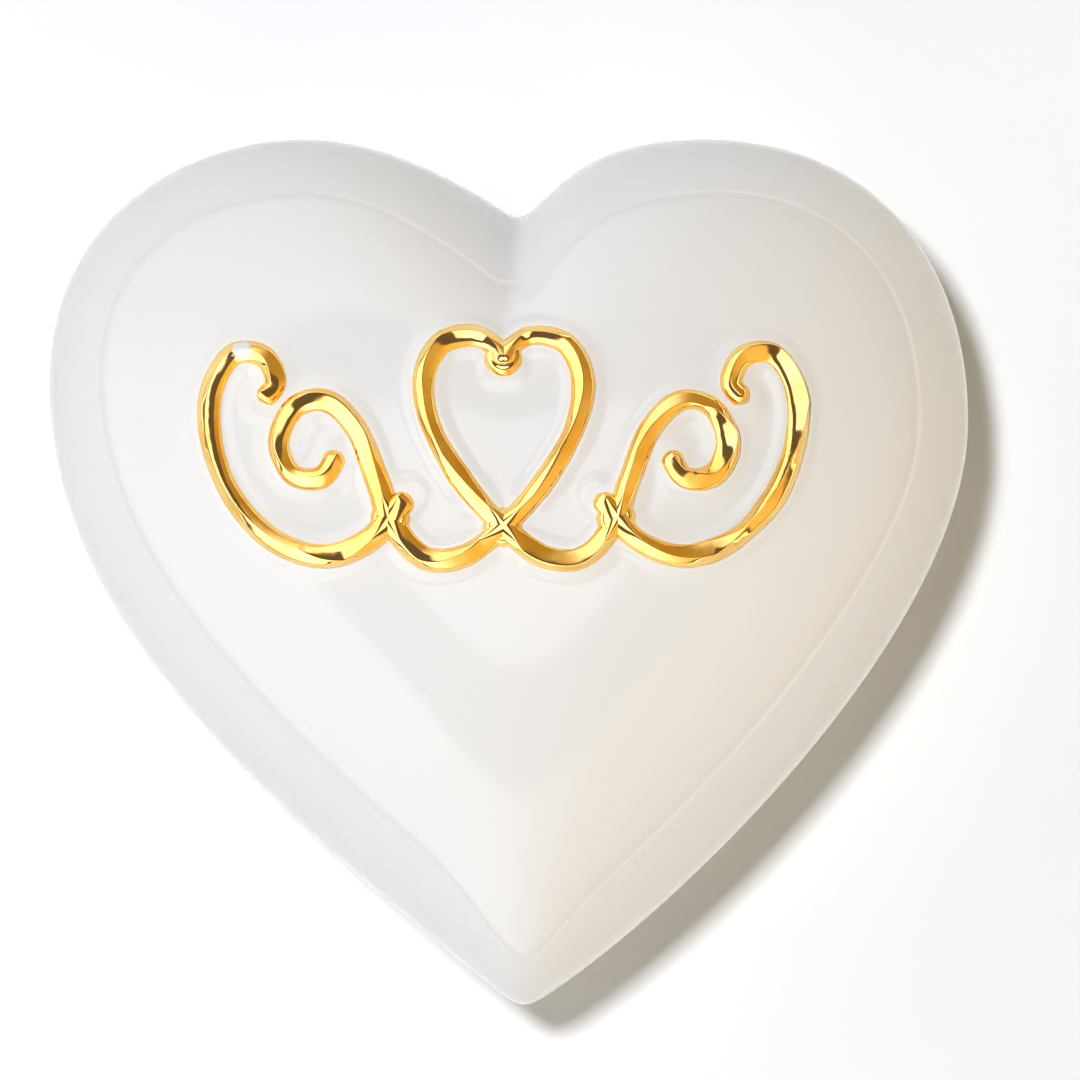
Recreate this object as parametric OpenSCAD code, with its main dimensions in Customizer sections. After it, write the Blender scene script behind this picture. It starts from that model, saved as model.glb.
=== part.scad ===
// Heart-shaped porcelain trinket box with a lift-off lid and a gilded scroll in raised cord.
// Frame: X across the two lobes, Y from the tip (-Y) to the lobes (+Y), Z up.
// The origin is on the table, below the centre of the heart's bounding box.

/* [Heart] */
// Width across both lobes
heart_w = 115; // [100:1:130]
// Depth from the tip to the top of the lobes
heart_d = 108; // [96:1:122]

/* [Box] */
// Height of the parting line above the table
box_h = 25; // [21:1:30]
// Height of the bowl's unglazed foot ring above the table
foot_lift = 0.8; // [0.4:0.2:1.6]
// Thickness of the bowl's wall at its rim
wall = 3.6; // [3:0.2:4.4]

/* [Lid] */
// Height of the dome above the parting line
dome_h = 31; // [25:1:36]
// Depth of the flange that locates the lid in the bowl
flange_h = 5; // [3:0.5:7]
// Clearance between the flange and the bowl's wall
flange_play = 0.5; // [0.4:0.1:0.8]

/* [Gilded scroll] */
// Width of the raised cord
cord_w = 2.6; // [2:0.1:3]
// Height of the raised cord above the dome
cord_h = 1.7; // [1.2:0.1:2.2]

/* [Felt pads] */
// Diameter of each felt pad under the bowl
pad_d = 10; // [7:0.5:11]

/* [Hidden] */

glaze_white = "whitesmoke";
gold = "goldenrod";

// The hand-formed heart is drawn 115 wide and 108 deep, then scaled to the size asked for.
sx = heart_w / 115;
sy = heart_d / 108;
lip_r = 0.8;          // rounding of both rims at the parting line
flange_t = 2.6;       // thickness of the lid's flange
crown_t = 3.4;        // thickness of the dome at its crown
dome_power = 2.1;     // 2 gives an ellipse in section, more gives a fuller shoulder
corner_soft = 1.4;    // spread of the bell curve, in degrees, that rounds the tip and the cleft at the rim
crown_soft = 36;      // the same at the crown, where the cleft has faded out
recess_z = 2.4;       // underside of the bowl inside its foot ring
foot_in = 0.60;       // foot ring, as a share of the heart's radius
foot_out = 0.66;
floor_z = 5.6;        // inside floor of the bowl
floor_out = 0.60;     // edge of the flat floor, as a share of the heart's radius
bore_h = 6;           // height of the straight wall that takes the flange
dome_z0 = box_h + lip_r;
bore = wall;
flange_out = wall + flange_play;
flange_in = flange_out + flange_t;
pole = [0, 6 * sy];   // every heart-shaped ring is drawn round this point
side_steps = 16;      // facets along each of the outline's six curves

// ---------- outline of the heart ----------

function along(length, angle) = length * [cos(angle), sin(angle)];
function scaled(p) = [p[0] * sx, p[1] * sy];
function curve(p, t) =
    pow(1 - t, 3) * p[0] + 3 * t * pow(1 - t, 2) * p[1] + 3 * t * t * (1 - t) * p[2] + t * t * t * p[3];

cleft = [1.4, 43.7];
tip = [1.7, -55];
lobe_left = [-25.5, 54];
lobe_right = [24.7, 54];
flank_left = [-57.5, 23.6];
flank_right = [57.5, 18.6];

// Six curves, counter-clockwise from the cleft, each between two of the points above.
sides = [
    [cleft, cleft + along(6.1, 146), lobe_left + [11.2, 0], lobe_left],
    [lobe_left, lobe_left - [14.6, 0], flank_left + [0, 21], flank_left],
    [flank_left, flank_left - [0, 27.4], tip + along(47.7, 141.7), tip],
    [tip, tip + along(18.7, 29.5), flank_right - [0, 27], flank_right],
    [flank_right, flank_right + [0, 23], lobe_right + [18.6, 0], lobe_right],
    [lobe_right, lobe_right - [15.8, 0], cleft + along(6.3, 39), cleft]
];

// The steps crowd towards the ends of each curve, where the tip and the cleft need them.
outline = [for (side = sides, i = [0:side_steps - 1])
    scaled(curve(side, (1 - cos(180 * i / side_steps)) / 2)) - pole];

function unit(v) = v / norm(v);
function turned_in(v) = [-v[1], v[0]];

// The outline moved inwards by d, mitred at its corners.
function inset(d) = [for (i = [0:len(outline) - 1])
    let (p = outline[i],
         n1 = turned_in(unit(p - outline[(i + len(outline) - 1) % len(outline)])),
         n2 = turned_in(unit(outline[(i + 1) % len(outline)] - p)))
    p + d * (n1 + n2) / (1 + n1 * n2)];

// Distance from the pole to the nearest crossing of a closed line, in the direction of an angle.
function reach(line, angle) =
    let (u = [cos(angle), sin(angle)])
    min([for (i = [0:len(line) - 1])
        let (edge = line[(i + 1) % len(line)] - line[i], k = cross(u, edge))
        if (abs(k) > 1e-9)
            let (r = cross(line[i], edge) / k, s = cross(line[i], u) / k)
            if (r > 0 && s > -1e-6 && s < 1 + 1e-6) r]);

// Every ring has one point on each spoke, counted once round from the cleft.
first_spoke = atan2(outline[0][1], outline[0][0]);
spokes = [for (p = outline) let (a = atan2(p[1], p[0])) a < first_spoke - 0.01 ? a + 360 : a];

// A radius for every spoke, repeated a turn each way so that a lookup can run past the ends.
function radii(line) =
    let (r = [for (a = spokes) reach(line, a)])
    [for (turn = [-360, 0, 360], i = [0:len(spokes) - 1]) [spokes[i] + turn, r[i]]];

outer_radii = radii(outline);
bore_radii = radii(inset(bore));
flange_out_radii = radii(inset(flange_out));
flange_in_radii = radii(inset(flange_in));

// The mean radius near an angle, weighted by a bell curve, which rounds the tip and the cleft.
bell_steps = 8;
bell_reach = 2.6;     // in spreads
bell = [for (j = [-bell_steps:bell_steps]) exp(-0.5 * pow(bell_reach * j / bell_steps, 2))];
bell_sum = bell * [for (b = bell) 1];
function soft(table, angle, spread) =
    [for (j = [-bell_steps:bell_steps]) lookup(angle + spread * bell_reach * j / bell_steps, table)]
    * bell / bell_sum;

// ---------- heart-shaped rings ----------

// The spread grows from the rim to the crown. It grows later beside the cleft, which keeps the crease there.
cleft_angle = 88;
function off_cleft(angle) = let (d = abs(angle - cleft_angle) % 360) min(d, 360 - d);
function softness(share, angle) =
    let (fade = 1.25 + 1.15 * exp(-0.5 * pow(off_cleft(angle) / 26, 2)))
    corner_soft + (crown_soft - corner_soft) * pow(1 - min(share, 1), fade);

// eased is the share that sets the spread. The bowl changes less than the dome: k and c scale its spread.
function ring(table, share, z, eased = 1, less = 0, k = 1, c = 0) =
    [for (a = spokes)
        let (r = share * soft(table, a, softness(eased, a) * k + c) - less)
        [pole[0] + r * cos(a), pole[1] + r * sin(a), z]];

// A closed solid from rings that run from an upward-facing pole to a downward-facing one.
module heart_shell(top, rings, bottom) {
    n = len(spokes);
    last = len(rings) - 1;
    points = concat([top], [for (r = rings) each r], [bottom]);
    top_fan = [for (i = [0:n - 1]) [0, 1 + (i + 1) % n, 1 + i]];
    walls = [for (k = [0:last - 1], i = [0:n - 1])
        let (j = (i + 1) % n, a = 1 + k * n, b = a + n)
        each [[a + i, a + j, b + j], [a + i, b + j, b + i]]];
    bottom_fan = [for (i = [0:n - 1]) [1 + last * n + i, 1 + last * n + (i + 1) % n, len(points) - 1]];
    polyhedron(points, concat(top_fan, walls, bottom_fan), convexity = 8);
}

// A dome's rings from its crown to its edge, or back. power sets the shoulder.
function dome_share(angle) = pow(cos(angle), 2 / dome_power);
function dome_rise(angle) = pow(sin(angle), 2 / dome_power);
function dome_rings(table, z, h, angles) =
    [for (q = angles) ring(table, dome_share(q), z + h * dome_rise(q), dome_share(q))];

module lid() {
    crown = dome_h - lip_r;
    hollow_z = box_h + 1;
    hollow_h = dome_h - 1 - crown_t;
    outside = [86, 80, 73, 65, 57, 49, 41, 33, 25, 17, 10, 4, 0];
    inside = [0, 8, 18, 30, 42, 54, 65, 75, 84];
    color(glaze_white) heart_shell(
        [pole[0], pole[1], dome_z0 + crown],
        concat(
            dome_rings(outer_radii, dome_z0, crown, outside),
            [
                ring(outer_radii, 1, box_h + 0.3 * lip_r, less = 0.3 * lip_r),
                ring(outer_radii, 1, box_h, less = lip_r),
                ring(flange_out_radii, 1, box_h),
                ring(flange_out_radii, 1, box_h - flange_h + 0.6),
                ring(flange_out_radii, 1, box_h - flange_h, less = 0.6),
                ring(flange_in_radii, 1, box_h - flange_h, less = -0.6),
                ring(flange_in_radii, 1, box_h - flange_h + 0.6)
            ],
            dome_rings(flange_in_radii, hollow_z, hollow_h, inside)
        ),
        [pole[0], pole[1], hollow_z + hollow_h]);
}

module bowl() {
    inner_drop = box_h - bore_h - floor_z;
    belly_drop = box_h - lip_r - recess_z;
    inside = [8, 20, 35, 50, 65, 78, 90];
    outside = [90, 76, 62, 48, 34, 20, 8];
    color(glaze_white) heart_shell(
        [pole[0], pole[1], floor_z],
        concat(
            [ring(bore_radii, 0.3, floor_z, 0.6)],
            [for (q = inside)
                let (share = floor_out + (1 - floor_out) * sin(q))
                ring(bore_radii, share, floor_z + inner_drop * (1 - cos(q)), share, k = 0.7, c = 0.4)],
            [
                ring(bore_radii, 1, box_h - 0.5),
                ring(bore_radii, 1, box_h, less = -0.5),
                ring(outer_radii, 1, box_h, less = lip_r),
                ring(outer_radii, 1, box_h - 0.3 * lip_r, less = 0.3 * lip_r)
            ],
            [for (q = outside)
                let (share = foot_out + (1 - foot_out) * sin(q))
                ring(outer_radii, share, recess_z + belly_drop * (1 - cos(q)), share, k = 0.5, c = 0.7)],
            [
                ring(outer_radii, foot_out, foot_lift + 0.4, foot_out, k = 0.5, c = 0.7),
                ring(outer_radii, foot_out - 0.008, foot_lift, foot_out, k = 0.5, c = 0.7),
                ring(outer_radii, foot_in + 0.008, foot_lift, foot_out, k = 0.5, c = 0.7),
                ring(outer_radii, foot_in, foot_lift + 0.4, foot_out, k = 0.5, c = 0.7),
                ring(outer_radii, foot_in - 0.015, recess_z, foot_out, k = 0.5, c = 0.7)
            ]
        ),
        [pole[0], pole[1], recess_z]);
}

// ---------- gilded scroll: cords of clay laid on the dome ----------

// Share of the dome's radius at a point of the plan, found by a few rounds of correction.
function share_at(p, rounds = 7, guess = 0.5) =
    rounds == 0 ? guess
    : let (a = atan2(p[1], p[0])) share_at(p, rounds - 1, norm(p) / soft(outer_radii, a, softness(guess, a)));
function dome_z(p) =
    let (s = min(share_at(p - pole), 1))
    dome_z0 + (dome_h - lip_r) * pow(1 - pow(s, dome_power), 1 / dome_power);
function dome_normal(p) =
    let (e = 0.4)
    unit([(dome_z(p - [e, 0]) - dome_z(p + [e, 0])) / (2 * e),
          (dome_z(p - [0, e]) - dome_z(p + [0, e])) / (2 * e), 1]);

// A smooth line through points chosen by hand.
function through(a, b, c, d, t) =
    0.5 * (2 * b + t * (c - a) + t * t * (2 * a - 5 * b + 4 * c - d) + t * t * t * (3 * b - a - 3 * c + d));
function smooth_line(p, n) =
    concat([for (i = [0:len(p) - 2], j = [0:n - 1])
        through(p[max(i - 1, 0)], p[i], p[i + 1], p[min(i + 2, len(p) - 1)], j / n)], [p[len(p) - 1]]);

scroll_centre = [-0.5, 15];
// Half of the heart, then down across the middle, and round the spiral on the other side.
scroll_points = [
    [0.6, 9.6], [-0.9, 11.9], [-3.8, 13.4], [-7.7, 12.3], [-9.6, 8], [-8.5, 2.2], [-4.7, -4.3], [0, -9.5],
    [4.7, -13], [9.4, -13.2], [13, -9.5], [15.1, -3.9], [17.6, 2.2], [21.2, 5.6], [25.1, 4.8], [27, 0.6],
    [25.3, -3.2], [21.7, -3.5], [19.8, -0.4]];
tendril_points = [
    [11.3, -5.6], [15.7, -10.8], [21.4, -13], [27.4, -11.2], [32.3, -6.3], [35, 0], [35.3, 6.5],
    [32.7, 11.2], [28.9, 11], [27.4, 7.8], [29.3, 5.6]];
cord_sides = 8;
cord_root = 0.8;      // depth to which each cord is luted into the dome

// One cord: an oval section swept along a line on the dome. side is 1, or -1 for a mirrored cord.
module cord(points, side) {
    line = [for (p = smooth_line(points, 3)) scroll_centre + [side * p[0], p[1]]];
    last = len(line) - 1;
    high = (cord_h + cord_root) / 2;
    rings = [for (i = [0:last])
        let (p = line[i],
             step = line[min(i + 1, last)] - line[max(i - 1, 0)],
             up = dome_normal(p),
             across = unit(cross(up, [step[0], step[1], 0])),
             thin = i == 0 || i == last ? 0.6 : 1,
             at = [p[0], p[1], dome_z(p)] + up * (high - cord_root))
        [for (j = [0:cord_sides - 1])
            let (a = 360 * (j + 0.5) / cord_sides)
            at + thin * (across * cord_w / 2 * cos(a) + up * high * sin(a))]];
    n = cord_sides;
    color(gold) polyhedron(
        [for (r = rings) each r],
        concat(
            [[for (j = [0:n - 1]) j]],
            [for (k = [0:last - 1], j = [0:n - 1])
                let (m = (j + 1) % n, a = k * n, b = a + n)
                each [[a + j, b + j, b + m], [a + j, b + m, a + m]]],
            [[for (j = [n - 1:-1:0]) last * n + j]]),
        convexity = 10);
}

// ---------- felt pads under the bowl ----------

module felt_pad(at) {
    color("linen") translate([at[0] * sx, at[1] * sy, 0]) {
        cylinder(h = 0.4, d1 = pad_d - 0.8, d2 = pad_d, $fn = 64);
        translate([0, 0, 0.4]) cylinder(h = recess_z - 0.4, d = pad_d, $fn = 64);
    }
}

bowl();
lid();
cord(scroll_points, -1);  // scroll_left
cord(scroll_points, 1);  // scroll_right
cord(tendril_points, -1);  // tendril_left
cord(tendril_points, 1);  // tendril_right
felt_pad([-21, 22]);  // felt_pad_left
felt_pad([21, 22]);  // felt_pad_right
felt_pad([1, -19]);  // felt_pad_tip
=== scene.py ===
"""A heart-shaped porcelain trinket box: a shallow bowl and a tall domed lid, with a gilded cord ornament.

The bowl and the lid are drawn ring by ring round one pole, as the CAD model draws them, and far more finely.
"""
import math
import random

import bmesh
import bpy
import numpy as np
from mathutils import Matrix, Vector, kdtree


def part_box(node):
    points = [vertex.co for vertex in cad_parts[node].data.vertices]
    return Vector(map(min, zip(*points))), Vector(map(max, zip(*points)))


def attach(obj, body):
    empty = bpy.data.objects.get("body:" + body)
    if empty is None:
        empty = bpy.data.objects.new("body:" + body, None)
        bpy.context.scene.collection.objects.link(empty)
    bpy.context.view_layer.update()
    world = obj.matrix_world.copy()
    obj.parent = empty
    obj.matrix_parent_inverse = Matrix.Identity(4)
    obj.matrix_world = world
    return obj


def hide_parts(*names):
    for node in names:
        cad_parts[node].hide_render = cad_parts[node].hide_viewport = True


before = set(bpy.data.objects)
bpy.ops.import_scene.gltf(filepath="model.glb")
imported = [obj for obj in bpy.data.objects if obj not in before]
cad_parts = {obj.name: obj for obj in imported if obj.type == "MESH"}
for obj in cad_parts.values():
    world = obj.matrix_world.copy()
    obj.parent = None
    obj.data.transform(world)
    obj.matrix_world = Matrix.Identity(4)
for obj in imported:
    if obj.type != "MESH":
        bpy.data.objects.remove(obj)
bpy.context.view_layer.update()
MM = 0.001

# ---------- sizes, in millimetres ----------

BOX_LOW, BOX_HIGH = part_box("bowl")
BOX_H = BOX_HIGH.z / MM                    # the parting line
FOOT_Z = BOX_LOW.z / MM                    # the foot ring's bare edge
LID_LOW, LID_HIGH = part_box("lid")
DOME_TOP = LID_HIGH.z / MM
FLANGE_LOW = LID_LOW.z / MM
WALL = 3.6                                 # the bowl's wall at its rim
FLANGE_PLAY = 0.5                          # between the lid's flange and the bowl's wall
FLANGE_T = 2.6
CROWN_T = 3.4                              # the dome's thickness at its crown
LIP = 0.8                                  # rounding of both rims at the parting line
POWER = 2.1                                # the dome's shoulder: 2 is an ellipse in section
CORNER_SOFT = 1.4                          # spread, in degrees, that rounds the tip and the cleft at the rim
CROWN_SOFT = 36.0                          # the same at the crown, where the cleft has faded out
CLEFT_ANGLE = 88.0                         # where the cleft lies round the pole, in degrees
RECESS_Z = 2.4                             # the bowl's underside inside its foot ring
FOOT_IN, FOOT_OUT = 0.60, 0.66             # the foot ring, as shares of the heart's radius
FLOOR_Z = 5.6
FLOOR_OUT = 0.60                           # the edge of the flat floor, as a share of the heart's radius
BORE_H = 6.0                               # the straight wall that takes the flange
POLE = np.array([0.0, 6.0])                # every ring is drawn round this point
SPOKES = 576
SPOKE_ANGLES = 90 + np.arange(SPOKES) * 360 / SPOKES

HALO_H = 0.42                              # the slip that beds the cords stands this far above the dome
HALO_IN, HALO_OUT = 1.5, 3.0               # from a cord's middle: level up to the first, gone by the second

CORD_W = 2.6
CORD_H = 1.7
CORD_END = 1.15                            # the length over which a cord's end is rounded
WEB = 2.2                                  # radius of the slip that fills the corners where two cords cross
WEB_REACH = 3.2                            # a cord is pressed flatter up to this far from a crossing
ROLL_STEP = 0.25                           # between the sections of a cord
SCROLL_CENTRE = np.array([-0.5, 15.0])
SCROLL = [(0.6, 9.6), (-0.9, 11.9), (-3.8, 13.4), (-7.7, 12.3), (-9.6, 8), (-8.5, 2.2), (-4.7, -4.3),
          (0, -9.5), (4.7, -13), (9.4, -13.2), (13, -9.5), (15.1, -3.9), (17.6, 2.2), (21.2, 5.6),
          (25.1, 4.8), (27, 0.6), (25.3, -3.2), (21.7, -3.5), (19.8, -0.4)]
TENDRIL = [(11.3, -5.6), (15.7, -10.8), (21.4, -13), (27.4, -11.2), (32.3, -6.3), (35, 0), (35.3, 6.5),
           (32.7, 11.2), (28.9, 11), (27.4, 7.8), (29.3, 5.6)]

# ---------- the heart's outline ----------


def along(length, degrees):
    """A step of this length in this direction."""
    a = math.radians(degrees)
    return length * np.array([math.cos(a), math.sin(a)])


def outline():
    """The hand-formed heart as a closed line of points round the pole, counter-clockwise from the cleft."""
    cleft, tip = np.array([1.4, 43.7]), np.array([1.7, -55.0])
    lobe_left, lobe_right = np.array([-25.5, 54.0]), np.array([24.7, 54.0])
    flank_left, flank_right = np.array([-57.5, 23.6]), np.array([57.5, 18.6])
    sides = [
        (cleft, cleft + along(6.1, 146), lobe_left + (11.2, 0), lobe_left),
        (lobe_left, lobe_left - (14.6, 0), flank_left + (0, 21), flank_left),
        (flank_left, flank_left - (0, 27.4), tip + along(47.7, 141.7), tip),
        (tip, tip + along(18.7, 29.5), flank_right - (0, 27), flank_right),
        (flank_right, flank_right + (0, 23), lobe_right + (18.6, 0), lobe_right),
        (lobe_right, lobe_right - (15.8, 0), cleft + along(6.3, 39), cleft),
    ]
    steps = 64
    points = []
    for a, b, c, d in sides:
        for i in range(steps):
            t = (1 - math.cos(math.pi * i / steps)) / 2
            points.append((1 - t) ** 3 * a + 3 * t * (1 - t) ** 2 * b + 3 * t * t * (1 - t) * c + t ** 3 * d)
    return np.array(points) - POLE


def unit(v):
    return v / np.linalg.norm(v, axis=-1, keepdims=True)


def inset(line, distance):
    """A closed line moved inwards, mitred at its corners."""
    before = unit(line - np.roll(line, 1, 0)) @ [[0, 1], [-1, 0]]
    after = unit(np.roll(line, -1, 0) - line) @ [[0, 1], [-1, 0]]
    return line + distance * (before + after) / (1 + (before * after).sum(1, keepdims=True))


TABLE_STEP = 0.125
TABLE_ANGLES = np.arange(0, 360, TABLE_STEP)


def cross(a, b):
    return a[..., 0] * b[..., 1] - a[..., 1] * b[..., 0]


def radii(line):
    """The distance from the pole to a closed line, in every direction of the table."""
    edge = np.roll(line, -1, 0) - line
    found = []
    for a in np.radians(TABLE_ANGLES):
        u = np.array([math.cos(a), math.sin(a)])
        k = cross(u[None], edge)
        k = np.where(abs(k) < 1e-9, 1e-9, k)
        r, s = cross(line, edge) / k, cross(line, u[None]) / k
        found.append(r[(r > 0) & (s > -1e-6) & (s < 1 + 1e-6)].min())
    return np.array(found)


HARMONICS = np.arange(240)


def waves(degrees):
    return np.exp(1j * np.radians(np.asarray(degrees))[..., None] * HARMONICS)


def soft(table, degrees, spread, basis=None):
    """A table's mean radius by a bell curve round each angle, which rounds the tip and the cleft."""
    parts = np.fft.rfft(table)[HARMONICS] / len(table) * np.where(HARMONICS > 0, 2, 1)
    bell = np.exp(-0.5 * (np.radians(np.asarray(spread))[..., None] * HARMONICS) ** 2)
    return ((waves(degrees) if basis is None else basis) * bell @ parts).real


def softness(share, degrees=SPOKE_ANGLES):
    """The spread for a ring at this share of the radius. It lags beside the cleft, which keeps the crease."""
    off_cleft = (degrees - CLEFT_ANGLE + 180) % 360 - 180
    fade = 1.25 + 1.15 * np.exp(-0.5 * (off_cleft / 26) ** 2)
    return CORNER_SOFT + (CROWN_SOFT - CORNER_SOFT) * (1 - np.minimum(share, 1)) ** fade


OUTER = radii(outline())
BORE = radii(inset(outline(), WALL))
FLANGE_OUT = radii(inset(outline(), WALL + FLANGE_PLAY))
FLANGE_IN = radii(inset(outline(), WALL + FLANGE_PLAY + FLANGE_T))
SPOKE_WAVES = waves(SPOKE_ANGLES)


def ring(table, share, z, spread=CORNER_SOFT, less=0.0):
    """One section of a shell: a share of the outline in a table, drawn in by the rest, at one height."""
    r = share * soft(table, SPOKE_ANGLES, spread, SPOKE_WAVES) - less
    a = np.radians(SPOKE_ANGLES)
    return np.stack([POLE[0] + r * np.cos(a), POLE[1] + r * np.sin(a), np.full(SPOKES, z)], 1)


# ---------- the dome ----------

DOME_Z0 = BOX_H + LIP
CROWN = DOME_TOP - DOME_Z0


def dome_share(xy):
    """The share of the dome's radius at points of the plan, found by a few rounds of correction."""
    v = xy - POLE
    r, a = np.linalg.norm(v, axis=-1), np.degrees(np.arctan2(v[..., 1], v[..., 0]))
    share = np.full(r.shape, 0.5)
    for _ in range(9):
        share = np.minimum(r / soft(OUTER, a, softness(share, a)), 1)
    return share


def dome_z(xy):
    return DOME_Z0 + CROWN * (1 - dome_share(xy) ** POWER) ** (1 / POWER)


def dome_normal(xy):
    step = 0.3
    dx = (dome_z(xy - (step, 0)) - dome_z(xy + (step, 0))) / (2 * step)
    dy = (dome_z(xy - (0, step)) - dome_z(xy + (0, step))) / (2 * step)
    return unit(np.stack([dx, dy, np.ones(len(xy))], 1))


# ---------- the ornament's lines ----------


def smooth_line(points, per_span):
    """The route through the given points, in millimetres round the ornament's centre."""
    p = [np.array(points[0])] + [np.array(q, float) for q in points] + [np.array(points[-1])]
    line = []
    for i in range(1, len(p) - 2):
        a, b, c, d = p[i - 1:i + 3]
        for j in range(per_span):
            t = j / per_span
            line.append(0.5 * (2 * b + t * (c - a) + t * t * (2 * a - 5 * b + 4 * c - d)
                               + t ** 3 * (3 * b - a - 3 * c + d)))
    return np.array(line + [p[-1]])


def even_line(points, step):
    """The same route in even steps."""
    line = smooth_line(points, 24)
    run = np.concatenate([[0], np.cumsum(np.linalg.norm(np.diff(line, axis=0), axis=1))])
    count = int(round(run[-1] / step))
    at = np.linspace(0, run[-1], count + 1)
    return np.stack([np.interp(at, run, line[:, 0]), np.interp(at, run, line[:, 1])], 1)


CORDS = {
    "scroll_left": (SCROLL, -1),
    "scroll_right": (SCROLL, 1),
    "tendril_left": (TENDRIL, -1),
    "tendril_right": (TENDRIL, 1),
}


def cord_line(name, step):
    """A cord's route on the plan of the lid. The left-hand cords mirror the right-hand ones."""
    points, side = CORDS[name]
    return SCROLL_CENTRE + even_line(points, step) * (side, 1)


# ---------- modelling helpers ----------


def deselect():
    if bpy.context.object and bpy.context.object.mode != "OBJECT":
        bpy.ops.object.mode_set(mode="OBJECT")
    bpy.ops.object.select_all(action="DESELECT")


def apply_modifiers(obj):
    deselect()
    bpy.context.view_layer.objects.active = obj
    obj.select_set(True)
    for modifier in list(obj.modifiers):
        bpy.ops.object.modifier_apply(modifier=modifier.name)


def settle(obj):
    """Puts a piece's place into its mesh."""
    deselect()
    bpy.context.view_layer.objects.active = obj
    obj.select_set(True)
    bpy.ops.object.transform_apply(location=True, rotation=True, scale=True)


def place(verts, points):
    for v, p in zip(verts, points):
        v.co = Vector(p) * MM


def extruded(name, rings, fill_type):
    """A new piece, left in edit mode: one ring is extruded section by section. The last stays selected."""
    deselect()
    bpy.ops.mesh.primitive_circle_add(vertices=len(rings[0]), radius=MM, fill_type=fill_type)
    obj = bpy.context.object
    obj.name = name
    bpy.ops.object.mode_set(mode="EDIT")
    bpy.ops.mesh.select_mode(type="VERT")
    bpy.ops.mesh.select_all(action="SELECT")
    mesh = bmesh.from_edit_mesh(obj.data)
    place(mesh.verts, rings[0])
    for points in rings[1:]:
        bpy.ops.mesh.extrude_region_move()
        mesh = bmesh.from_edit_mesh(obj.data)
        place([v for v in mesh.verts if v.select], points)
    return obj


def turn_outwards():
    bpy.ops.mesh.select_all(action="SELECT")
    bpy.ops.mesh.normals_make_consistent(inside=False)
    bpy.ops.object.mode_set(mode="OBJECT")


def shell(name, top, rings, bottom):
    """A closed shell, extruded ring by ring from its upper pole to its lower pole."""
    obj = extruded(name, rings, "NOTHING")
    close_ring(obj, bottom)
    mesh = bmesh.from_edit_mesh(obj.data)
    mesh.verts.ensure_lookup_table()
    for v in mesh.verts:
        v.select_set(v.index < SPOKES)
    mesh.select_flush(True)
    close_ring(obj, top)
    turn_outwards()
    bpy.ops.object.shade_smooth()
    return obj


def close_ring(obj, pole):
    """Draws the selected ring in to its pole."""
    bpy.ops.mesh.extrude_region_move()
    bpy.ops.mesh.merge(type="CENTER")
    mesh = bmesh.from_edit_mesh(obj.data)
    place([v for v in mesh.verts if v.select], [pole])
    bpy.ops.mesh.select_all(action="DESELECT")


# ---------- the two porcelain shells ----------


def turns(*degrees):
    """The cosine and the sine of each angle of a rounded edge."""
    return [(math.cos(math.radians(a)), math.sin(math.radians(a))) for a in degrees]


def dome_rings(table, z, h, shares):
    """Rings of a dome that stands on z and is h high."""
    return [ring(table, s, z + h * max(1 - s ** POWER, 0) ** (1 / POWER), softness(s)) for s in shares]


def make_lid():
    """The dome, the rounded rim and the seat, then the flange that drops into the bowl, and the hollow."""
    crown = [0.02, 0.05, 0.09] + list(np.linspace(0.13, 0.82, 70))
    shoulder = [c ** (2 / POWER) for c, s in turns(*np.linspace(34, 0, 26))]
    inside = [c ** (2 / POWER) for c, s in turns(0, 5, 11, 18, 26, 34, 42, 50, 58, 66, 74, 81, 86)]
    hollow_z, hollow_h = BOX_H + 1, DOME_TOP - BOX_H - 1 - CROWN_T
    rounding = 0.7
    rings = dome_rings(OUTER, DOME_Z0, CROWN, crown + shoulder)
    for c, s in turns(15, 30, 45, 60, 75, 90):
        rings.append(ring(OUTER, 1, DOME_Z0 - LIP * s, less=LIP * (1 - c)))
    for drop, less in ((0, -0.5), (0, -0.1), (0.1, 0)):
        rings.append(ring(FLANGE_OUT, 1, BOX_H - drop, less=less))
    rings.append(ring(FLANGE_OUT, 1, FLANGE_LOW + 0.8))
    for c, s in turns(0, 22, 45, 67, 90):
        rings.append(ring(FLANGE_OUT, 1, FLANGE_LOW + rounding * (1 - s), less=rounding * (1 - c)))
    for c, s in turns(90, 67, 45, 22, 0):
        rings.append(ring(FLANGE_IN, 1, FLANGE_LOW + rounding * (1 - s), less=-rounding * (1 - c)))
    for rise in (2, 4):
        rings.append(ring(FLANGE_IN, 1, FLANGE_LOW + rise))
    rings += dome_rings(FLANGE_IN, hollow_z, hollow_h, inside)
    return shell("porcelain_lid", (*POLE, DOME_TOP), rings, (*POLE, hollow_z + hollow_h))


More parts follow.
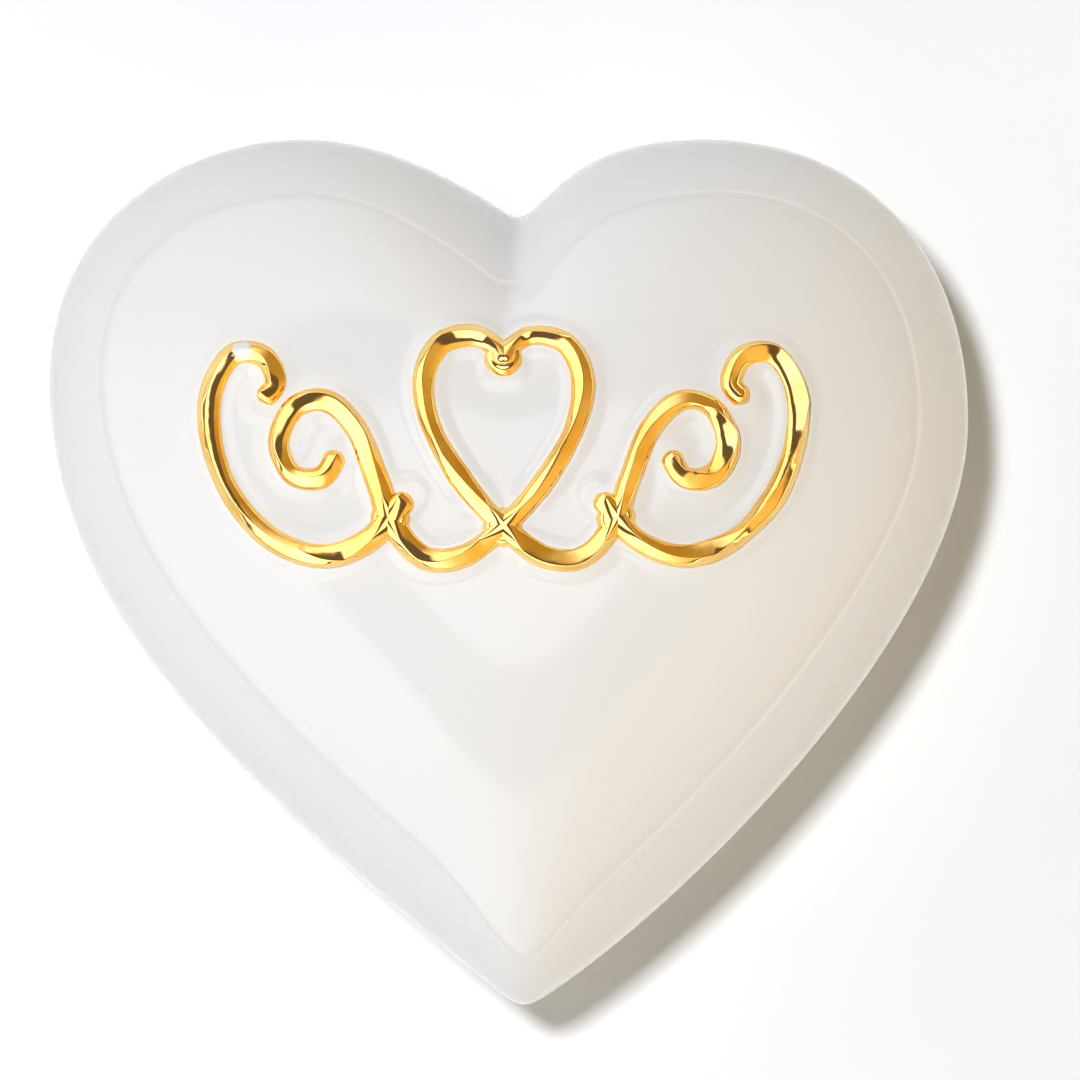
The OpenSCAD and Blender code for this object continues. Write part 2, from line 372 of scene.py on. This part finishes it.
def make_bowl():
    """The floor, the inner wall, the rounded rim, the belly, and the foot ring with its recess."""
    drop = BOX_H - BORE_H - FLOOR_Z
    belly = BOX_H - LIP - RECESS_Z
    foot_soft = softness(FOOT_OUT) * 0.5 + 0.7
    bore_edge, foot_edge = 0.6, 0.5
    rings = [ring(BORE, share, FLOOR_Z, softness(0.6)) for share in (0.03, 0.12, 0.3, 0.45)]
    for c, s in turns(4, 8, 14, 20, 27, 34, 42, 50, 58, 66, 74, 82, 90):
        share = FLOOR_OUT + (1 - FLOOR_OUT) * s
        rings.append(ring(BORE, share, FLOOR_Z + drop * (1 - c), softness(share) * 0.7 + 0.4))
    for down in (4, 2, bore_edge):
        rings.append(ring(BORE, 1, BOX_H - down))
    for c, s in turns(25, 50, 70, 90):
        rings.append(ring(BORE, 1, BOX_H - bore_edge * (1 - s), less=-bore_edge * (1 - c)))
    for c, s in turns(90, 75, 60, 45, 30, 15, 0):
        rings.append(ring(OUTER, 1, BOX_H - LIP * (1 - s), less=LIP * (1 - c)))
    for c, s in turns(*np.linspace(87, 9, 27)):
        share = FOOT_OUT + (1 - FOOT_OUT) * s
        rings.append(ring(OUTER, share, RECESS_Z + belly * (1 - c), softness(share) * 0.5 + 0.7))
    for c, s in turns(0, 30, 60, 90):
        z = FOOT_Z + foot_edge * (1 - s)
        rings.append(ring(OUTER, FOOT_OUT, z, foot_soft, less=foot_edge * (1 - c)))
    for c, s in turns(90, 60, 30, 0):
        z = FOOT_Z + foot_edge * (1 - s)
        rings.append(ring(OUTER, FOOT_IN, z, foot_soft, less=-foot_edge * (1 - c)))
    for down, less in ((0.4, 0), (0.12, 0.12), (0, 0.5)):
        rings.append(ring(OUTER, FOOT_IN, RECESS_Z - down, foot_soft, less=less))
    for share in (0.4, 0.2, 0.04):
        rings.append(ring(OUTER, share, RECESS_Z, foot_soft))
    return shell("porcelain_bowl", (*POLE, FLOOR_Z), rings, (*POLE, RECESS_Z))


def lid_is_bare(centre, outward, normal):
    """The lid's seat and the outside of its flange."""
    return centre.z < BOX_H + 0.02 and outward > -0.3


def bowl_is_bare(centre, outward, normal):
    """The bowl's seat and the edge of its foot ring."""
    return centre.z < FOOT_Z + 0.3 or (centre.z > BOX_H - 0.02 and normal.z > 0.9)


def leave_bare(obj, bare, is_bare):
    """Gives the faces that pass a test the material of unglazed porcelain.

    The test gets a face's centre in millimetres, how far it faces away from the pole, and its normal.
    """
    obj.data.materials.append(bare)
    deselect()
    bpy.context.view_layer.objects.active = obj
    obj.active_material_index = 1
    bpy.ops.object.mode_set(mode="EDIT")
    bpy.ops.mesh.select_mode(type="FACE")
    bpy.ops.mesh.select_all(action="DESELECT")
    mesh = bmesh.from_edit_mesh(obj.data)
    for face in mesh.faces:
        centre = face.calc_center_median() / MM
        away = Vector((centre.x - POLE[0], centre.y - POLE[1], 0)).normalized()
        face.select_set(is_bare(centre, away.dot(face.normal), face.normal))
    bpy.ops.object.material_slot_assign()
    bpy.ops.object.mode_set(mode="OBJECT")


def raise_bed(lid):
    """Lifts the dome beside the cords, where slip was brushed up against them."""
    lines = np.concatenate([cord_line(name, 0.25) for name in CORDS])
    tree = kdtree.KDTree(len(lines))
    for i, p in enumerate(lines):
        tree.insert((p[0], p[1], 0), i)
    tree.balance()
    normals = [v.normal.copy() for v in lid.data.vertices]
    for v, normal in zip(lid.data.vertices, normals):
        if v.co.z < (DOME_Z0 + 4) * MM or normal.z < 0.2:
            continue
        reach = tree.find((v.co.x / MM, v.co.y / MM, 0))[2]
        if reach < HALO_OUT:
            t = min(max((HALO_OUT - reach) / (HALO_OUT - HALO_IN), 0), 1)
            v.co += normal * HALO_H * t * t * (3 - 2 * t) * MM


# ---------- the gilded cords ----------


def crossings(one, other):
    """The points of the plan where two cords cross."""
    a, b = cord_line(one, 0.2), cord_line(other, 0.2)
    gap = np.linalg.norm(a[:, None] - b[None], axis=2)
    near = gap.min(1)
    found = []
    for i in np.argsort(near):
        if near[i] < 0.2 and all(np.linalg.norm(a[i] - p) > 4 for p in found):
            found.append(a[i])
    return found


PAIRS = [("scroll_left", "scroll_right"), ("scroll_left", "tendril_left"), ("scroll_right", "tendril_right")]
MEETINGS = {pair: crossings(*pair) for pair in PAIRS}


def presses(rng, run, low, high, gap):
    """A measure that was pressed by thumb at uneven places along a cord, with straight runs between."""
    at, values = [0.0], [rng.uniform(low, high)]
    while at[-1] < run[-1]:
        at.append(at[-1] + rng.uniform(*gap))
        values.append(rng.uniform(low, high))
    return np.interp(run, at, values)


def cord_section(roll, flat, left, right):
    """Half-widths across and shares of the height up: two broad facets, with corners rounded by thumb."""
    ridge_left = min(max(roll - flat, -0.8), 0.68)
    ridge_right = max(min(roll + flat, 0.8), ridge_left + 0.1)
    corners = np.array([(-0.9, -0.5), (0.9, -0.5), (1.03, 0.1), (0.96, right), (ridge_right, 1.1),
                        (ridge_left, 1.1), (-0.96, left), (-1.03, 0.1)])
    for cut in (0.3, 0.26, 0.25):
        ahead = np.roll(corners, -1, axis=0)
        near, far = (1 - cut) * corners + cut * ahead, cut * corners + (1 - cut) * ahead
        corners = np.stack([near, far], 1).reshape(-1, 2)
    return corners


def cord_sections(line, meet, rng):
    """The sections of a hand-pressed cord along its line, smaller at its two round ends."""
    run = np.arange(len(line)) * ROLL_STEP
    press_gap, swell_gap = (5.0, 11.0), (4.0, 9.0)
    roll = presses(rng, run, -0.7, 0.7, press_gap) * (1 - 0.7 * meet)
    flat = presses(rng, run, 0.02, 0.12, press_gap) + 0.5 * meet
    swell = presses(rng, run, 0.9, 1.2, swell_gap) * (1 + 0.12 * meet)
    left = presses(rng, run, 0.5, 0.74, press_gap)
    right = presses(rng, run, 0.5, 0.74, press_gap)
    at_z, up = dome_z(line), dome_normal(line)
    ahead = np.gradient(line, axis=0)
    across = unit(np.cross(np.concatenate([ahead, np.zeros((len(line), 1))], 1), up))
    sections = []
    for i, place_on_plan in enumerate(line):
        reach = min(min(run[i], run[-1] - run[i]) / CORD_END, 1)
        end = math.sqrt(max(1 - (1 - reach) ** 2, 0.05))
        middle = np.array([*place_on_plan, at_z[i]])
        half, high = CORD_W / 2 * swell[i] * end, CORD_H * (0.35 + 0.65 * end)
        sections.append([middle + across[i] * half * x + up[i] * high * y
                         for x, y in cord_section(roll[i], flat[i], left[i], right[i])])
    return sections


def make_cord(name, seed):
    """A cord swept along its line. The first of two cords that cross gets the web of slip between them."""
    line = cord_line(name, ROLL_STEP)
    joints = [p for pair, points in MEETINGS.items() if name in pair for p in points]
    near = np.array([min(np.linalg.norm(p - q) for q in joints) for p in line])
    sections = cord_sections(line, np.clip(1 - near / WEB_REACH, 0, 1), random.Random(seed))
    cord = extruded("gilded_" + name, sections, "NGON")
    turn_outwards()
    for pair, points in MEETINGS.items():
        if pair[0] == name:
            for p in points:
                unite(cord, make_web(p))
    deselect()
    cord.select_set(True)
    bpy.context.view_layer.objects.active = cord
    bpy.ops.object.shade_smooth_by_angle(angle=math.radians(32))
    return cord


def make_web(at):
    """A low round pat of slip under a crossing, a little lower than the cords and let into the dome."""
    p = np.array([at])
    normal = Vector(dome_normal(p)[0])
    low, high = -0.6, 0.86 * CORD_H
    middle = Vector((at[0], at[1], dome_z(p)[0])) + normal * (low + high) / 2
    deselect()
    bpy.ops.mesh.primitive_cone_add(
        vertices=48, radius1=WEB * 1.3 * MM, radius2=WEB * 0.86 * MM, depth=(high - low) * MM,
        location=middle * MM, rotation=normal.to_track_quat("Z", "Y").to_euler())
    web = bpy.context.object
    settle(web)
    rounding = web.modifiers.new("rounding", "BEVEL")
    rounding.width, rounding.segments, rounding.limit_method = 0.45 * MM, 4, "ANGLE"
    apply_modifiers(web)
    return web


def unite(cord, web):
    """Makes one skin of a cord and a web."""
    union = cord.modifiers.new("web", "BOOLEAN")
    union.operation, union.solver, union.object = "UNION", "EXACT", web
    apply_modifiers(cord)
    deselect()
    web.select_set(True)
    bpy.ops.object.delete()


def make_felt_pad(name):
    """A disc of felt in the foot ring's recess, where the CAD model has it."""
    low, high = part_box(name)
    centre, radius, height = (low + high) / 2, (high.x - low.x) / 2, high.z - low.z
    deselect()
    bpy.ops.mesh.primitive_cylinder_add(vertices=96, radius=radius, depth=height, location=centre)
    pad = bpy.context.object
    pad.name = "pad_" + name.split("_")[-1]
    settle(pad)
    bevel = pad.modifiers.new("soft_edge", "BEVEL")
    bevel.width, bevel.segments, bevel.limit_method = 0.5 * MM, 4, "ANGLE"
    apply_modifiers(pad)
    deselect()
    pad.select_set(True)
    bpy.ops.object.shade_smooth_by_angle(angle=math.radians(40))
    return pad


# ---------- materials ----------


class Nodes:
    """Short calls for one material's or one group's node tree."""

    def __init__(self, tree):
        self.tree = tree

    def add(self, kind, *values, **settings):
        """A node with its first input sockets set to, or linked from, the values given."""
        node = self.tree.nodes.new(kind)
        for key, value in settings.items():
            setattr(node, key, value)
        for socket, value in zip(node.inputs, values):
            self.feed(value, socket)
        return node

    def feed(self, value, socket):
        if isinstance(value, bpy.types.NodeSocket):
            self.tree.links.new(value, socket)
        elif value is not None:
            socket.default_value = value

    def maths(self, operation, a, b=None):
        return self.add("ShaderNodeMath", a, b, operation=operation).outputs[0]

    def spread(self, value, low, high, to_low=0.0, to_high=1.0):
        """A value eased from one range to another."""
        return self.add("ShaderNodeMapRange", value, low, high, to_low, to_high,
                        interpolation_type="SMOOTHSTEP").outputs[0]

    def blend(self, mask, low, high):
        """One colour changed to another by a mask."""
        node = self.add("ShaderNodeMix", data_type="RGBA")
        self.feed(mask, node.inputs["Factor"])
        self.feed(low, node.inputs[6])
        self.feed(high, node.inputs[7])
        return node.outputs[2]

    def cloud(self, place_on_object, scale, detail=2.0):
        """Soft noise from 0 to 1."""
        node = self.add("ShaderNodeTexNoise", place_on_object)
        self.feed(scale, node.inputs["Scale"])
        self.feed(detail, node.inputs["Detail"])
        return node.outputs["Fac"]

    def use(self, group, **values):
        """A group's output, with its inputs set or linked by name."""
        node = self.add("ShaderNodeGroup", node_tree=group)
        for name, value in values.items():
            self.feed(value, node.inputs[name])
        return node.outputs[0]


def new_group(name, inputs, output, kind):
    """A node group with named inputs and one named output."""
    tree = bpy.data.node_groups.new(name, "ShaderNodeTree")
    for label, socket_kind in inputs.items():
        tree.interface.new_socket(label, in_out="INPUT", socket_type="NodeSocket" + socket_kind)
    tree.interface.new_socket(output, in_out="OUTPUT", socket_type="NodeSocket" + kind)
    nodes = Nodes(tree)
    return tree, nodes, nodes.add("NodeGroupInput").outputs, nodes.add("NodeGroupOutput")


def make_drift():
    """A soft cloudy mask: 0 where the cloud is below Low, 1 where it is above High."""
    tree, n, given, out = new_group(
        "drift", {"Place": "Vector", "Scale": "Float", "Detail": "Float", "Low": "Float", "High": "Float"},
        "Mask", "Float")
    cloud = n.cloud(given["Place"], given["Scale"], given["Detail"])
    n.feed(n.spread(cloud, given["Low"], given["High"]), out.inputs["Mask"])
    return tree


def make_unevenness():
    """A normal for a surface that rises and falls by Depth, in metres."""
    tree, n, given, out = new_group(
        "unevenness", {"Place": "Vector", "Scale": "Float", "Detail": "Float", "Depth": "Float"},
        "Normal", "Vector")
    cloud = n.cloud(given["Place"], given["Scale"], given["Detail"])
    bump = n.add("ShaderNodeBump")
    n.feed(given["Depth"], bump.inputs["Distance"])
    n.feed(cloud, bump.inputs["Height"])
    n.feed(bump.outputs["Normal"], out.inputs["Normal"])
    return tree


def make_patch():
    """A ragged round patch: 1 at its Centre, 0 beyond its Radius, in metres."""
    tree, n, given, out = new_group(
        "patch", {"Place": "Vector", "Centre": "Vector", "Radius": "Float", "Scale": "Float"},
        "Mask", "Float")
    reach = n.add("ShaderNodeVectorMath", given["Place"], given["Centre"], operation="DISTANCE")
    cloud = n.cloud(given["Place"], given["Scale"])
    ragged = n.maths("MULTIPLY", n.maths("SUBTRACT", cloud, 0.5), given["Radius"])
    inner = n.maths("MULTIPLY", given["Radius"], 0.75)
    away = n.maths("ADD", reach.outputs["Value"], ragged)
    n.feed(n.spread(away, inner, given["Radius"], 1.0, 0.0), out.inputs["Mask"])
    return tree


DRIFT, UNEVENNESS, PATCH = make_drift(), make_unevenness(), make_patch()


def new_material(name):
    """A material, its nodes, the sockets of its Principled BSDF and the place on the object."""
    material = bpy.data.materials.new(name)
    material.use_nodes = True
    nodes = Nodes(material.node_tree)
    place_on_object = nodes.add("ShaderNodeTexCoord").outputs["Object"]
    return material, nodes, material.node_tree.nodes["Principled BSDF"].inputs, place_on_object


def porcelain():
    """White body under a clear glaze: faintly cooler where it lies thick, uneven, with a few flecks."""
    material, n, shader, at = new_material("glazed_porcelain")
    thick = n.use(DRIFT, Place=at, Scale=20.0, Detail=1.0, Low=0.25, High=0.75)
    tone = n.blend(thick, (0.785, 0.775, 0.757, 1), (0.789, 0.781, 0.767, 1))
    fleck = n.use(DRIFT, Place=at, Scale=900.0, Detail=1.0, Low=0.76, High=0.8)
    n.feed(n.blend(n.maths("MULTIPLY", fleck, 0.35), tone, (0.70, 0.67, 0.62, 1)), shader["Base Color"])
    n.feed(n.spread(thick, 0.0, 1.0, 0.07, 0.055), shader["Roughness"])
    n.feed(n.use(UNEVENNESS, Place=at, Scale=30.0, Detail=0.0, Depth=0.00003), shader["Normal"])
    shader["IOR"].default_value = 1.46
    return material


def bisque():
    """The porcelain left bare where the glaze was wiped off, so that the two pieces don't fuse."""
    material, n, shader, at = new_material("bare_porcelain")
    tone = n.use(DRIFT, Place=at, Scale=70.0, Detail=4.0, Low=0.3, High=0.7)
    n.feed(n.blend(tone, (0.74, 0.71, 0.66, 1), (0.80, 0.78, 0.74, 1)), shader["Base Color"])
    n.feed(n.use(UNEVENNESS, Place=at, Scale=2600.0, Detail=3.0, Depth=0.00002), shader["Normal"])
    n.feed(n.spread(tone, 0.0, 1.0, 0.72, 0.6), shader["Roughness"])
    return material


def missed_spot():
    """Where the lustre missed the cord, in metres: the furthest point back of the left tendril."""
    line = cord_line("tendril_left", 0.2)
    p = line[[int(np.argmax(line[:, 1]))]]
    return tuple(float(v) for v in (np.array([*p[0], dome_z(p)[0]]) + dome_normal(p)[0] * CORD_H) * MM)


def gold():
    """Bright gold lustre over the glaze: mirror-like, redder where it is thin, missing in one spot."""
    material, n, shader, at = new_material("gold_lustre")
    thin = n.use(DRIFT, Place=at, Scale=210.0, Detail=2.0, Low=0.36, High=0.7)
    metal = n.blend(thin, (0.97, 0.69, 0.26, 1), (0.90, 0.56, 0.15, 1))
    bare = n.use(PATCH, Place=at, Centre=missed_spot(), Radius=0.0014, Scale=1500.0)
    n.feed(n.blend(bare, metal, (0.80, 0.79, 0.77, 1)), shader["Base Color"])
    n.feed(n.maths("SUBTRACT", 1.0, bare), shader["Metallic"])
    n.feed(n.spread(thin, 0.0, 1.0, 0.05, 0.1), shader["Roughness"])
    n.feed(n.use(UNEVENNESS, Place=at, Scale=420.0, Detail=1.0, Depth=0.00006), shader["Normal"])
    return material


def felt():
    """Pressed wool: short pale and dark fibres, with a nap that catches the light at its edge."""
    material, n, shader, at = new_material("wool_felt")
    fibre = n.use(DRIFT, Place=at, Scale=2400.0, Detail=4.0, Low=0.3, High=0.7)
    cloud = n.use(DRIFT, Place=at, Scale=260.0, Detail=2.0, Low=0.3, High=0.7)
    wool = n.blend(fibre, (0.42, 0.40, 0.36, 1), (0.70, 0.68, 0.62, 1))
    n.feed(n.blend(n.maths("MULTIPLY", cloud, 0.3), wool, (0.60, 0.57, 0.51, 1)), shader["Base Color"])
    n.feed(n.use(UNEVENNESS, Place=at, Scale=1800.0, Detail=5.0, Depth=0.0002), shader["Normal"])
    shader["Roughness"].default_value = 0.95
    shader["Sheen Weight"].default_value = 0.4
    shader["Sheen Roughness"].default_value = 0.5
    return material


# ---------- the studio ----------


def area_light(name, place_mm, aim_mm, size_mm, power, colour):
    """A panel of light that the glaze and the gold don't mirror: they mirror the surroundings."""
    light = bpy.data.lights.new(name, "AREA")
    light.shape = "RECTANGLE"
    light.size, light.size_y = size_mm[0] * MM, size_mm[1] * MM
    light.energy, light.color = power, colour
    obj = bpy.data.objects.new(name, light)
    bpy.context.scene.collection.objects.link(obj)
    obj.location = Vector(place_mm) * MM
    obj.rotation_euler = (Vector(aim_mm) - Vector(place_mm)).to_track_quat("-Z", "Y").to_euler()
    obj.visible_glossy = False
    obj.visible_camera = False


def make_surroundings():
    """What the glaze and the gold mirror: a panel overhead, a dim gap, pale walls and the pale sweep below.

    The walls are dimmer and amber to the right and behind. The camera sees plain white.
    """
    world = bpy.data.worlds.new("studio")
    world.use_nodes = True
    n = Nodes(world.node_tree)
    direction = n.add("ShaderNodeTexCoord").outputs["Generated"]
    east, north, up = n.add("ShaderNodeSeparateXYZ", direction).outputs
    rightwards, backwards = n.spread(east, -0.3, 0.4), n.spread(north, -0.7, 0.7)
    front = n.blend(rightwards, (2.4, 2.35, 2.3, 1), (1.15, 0.78, 0.28, 1))
    back = n.blend(rightwards, (1.7, 1.62, 1.5, 1), (0.5, 0.32, 0.08, 1))
    sweep = n.blend(rightwards, (1.6, 1.6, 1.6, 1), (3.0, 2.45, 1.6, 1))
    gap, panel = (0.15, 0.115, 0.1, 1), (1.9, 1.9, 2.05, 1)
    on_wall = n.maths("MULTIPLY", n.spread(up, 0.04, 0.12), n.spread(up, 0.74, 0.8, 1.0, 0.0))
    on_panel = n.spread(up, 0.925, 0.945)
    on_sweep = n.spread(up, -0.02, 0.02, 1.0, 0.0)
    colour = n.blend(on_wall, gap, n.blend(backwards, front, back))
    colour = n.blend(on_panel, colour, panel)
    colour = n.blend(on_sweep, colour, sweep)
    seen = n.add("ShaderNodeLightPath").outputs["Is Camera Ray"]
    n.feed(n.blend(seen, colour, (1, 1, 1, 1)), world.node_tree.nodes["Background"].inputs["Color"])
    world.cycles_visibility.diffuse = False
    return world


def make_floor():
    """A white sweep, faintly cool."""
    deselect()
    bpy.ops.mesh.primitive_plane_add(size=2.4)
    floor = bpy.context.object
    floor.name = "studio_floor"
    material, n, shader, at = new_material("white_sweep")
    n.feed(n.blend(n.use(DRIFT, Place=at, Scale=3.0, Detail=2.0, Low=0.3, High=0.7),
                   (0.91, 0.93, 0.96, 1), (0.92, 0.94, 0.965, 1)), shader["Base Color"])
    shader["Roughness"].default_value = 0.9
    floor.data.materials.append(material)


def make_studio():
    scene = bpy.context.scene
    scene.view_settings.view_transform = "Standard"
    scene.world = make_surroundings()
    make_floor()
    area_light("key", (-140, 150, 1000), (0, 0, 20), (90, 90), 8.3, (0.95, 0.965, 1.0))
    area_light("window", (-850, 250, 560), (0, 0, 60), (1000, 520), 2.6, (1.0, 0.985, 0.96))
    area_light("front_fill", (-160, -1000, 320), (0, 0, 60), (900, 500), 4.2, (1.0, 0.98, 0.96))
    area_light("warm_fill", (930, -160, 340), (0, 0, 60), (1200, 600), 3.5, (1.0, 0.74, 0.3))


def make_camera():
    """A long lens straight overhead. It takes in this width at the height of the parting line."""
    lens, sensor, width = 200, 36, 135.4
    data = bpy.data.cameras.new("overhead")
    data.lens, data.sensor_width = lens, sensor
    camera = bpy.data.objects.new("overhead", data)
    bpy.context.scene.collection.objects.link(camera)
    camera.location = Vector((3.92, 3.89, BOX_H + width * lens / sensor)) * MM
    bpy.context.scene.camera = camera


# ---------- the box ----------

make_camera()
make_studio()

glaze, bare, lustre, wool = porcelain(), bisque(), gold(), felt()

lid = make_lid()
raise_bed(lid)
lid.data.materials.append(glaze)
leave_bare(lid, bare, lid_is_bare)
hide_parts("lid")
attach(lid, "cover")

bowl = make_bowl()
bowl.data.materials.append(glaze)
leave_bare(bowl, bare, bowl_is_bare)
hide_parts("bowl")
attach(bowl, "base")

for seed, name in enumerate(CORDS):
    cord = make_cord(name, seed)
    cord.data.materials.append(lustre)
    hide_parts(name)
    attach(cord, "cover")

for name in ("felt_pad_left", "felt_pad_right", "felt_pad_tip"):
    pad = make_felt_pad(name)
    pad.data.materials.append(wool)
    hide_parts(name)
    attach(pad, "base")
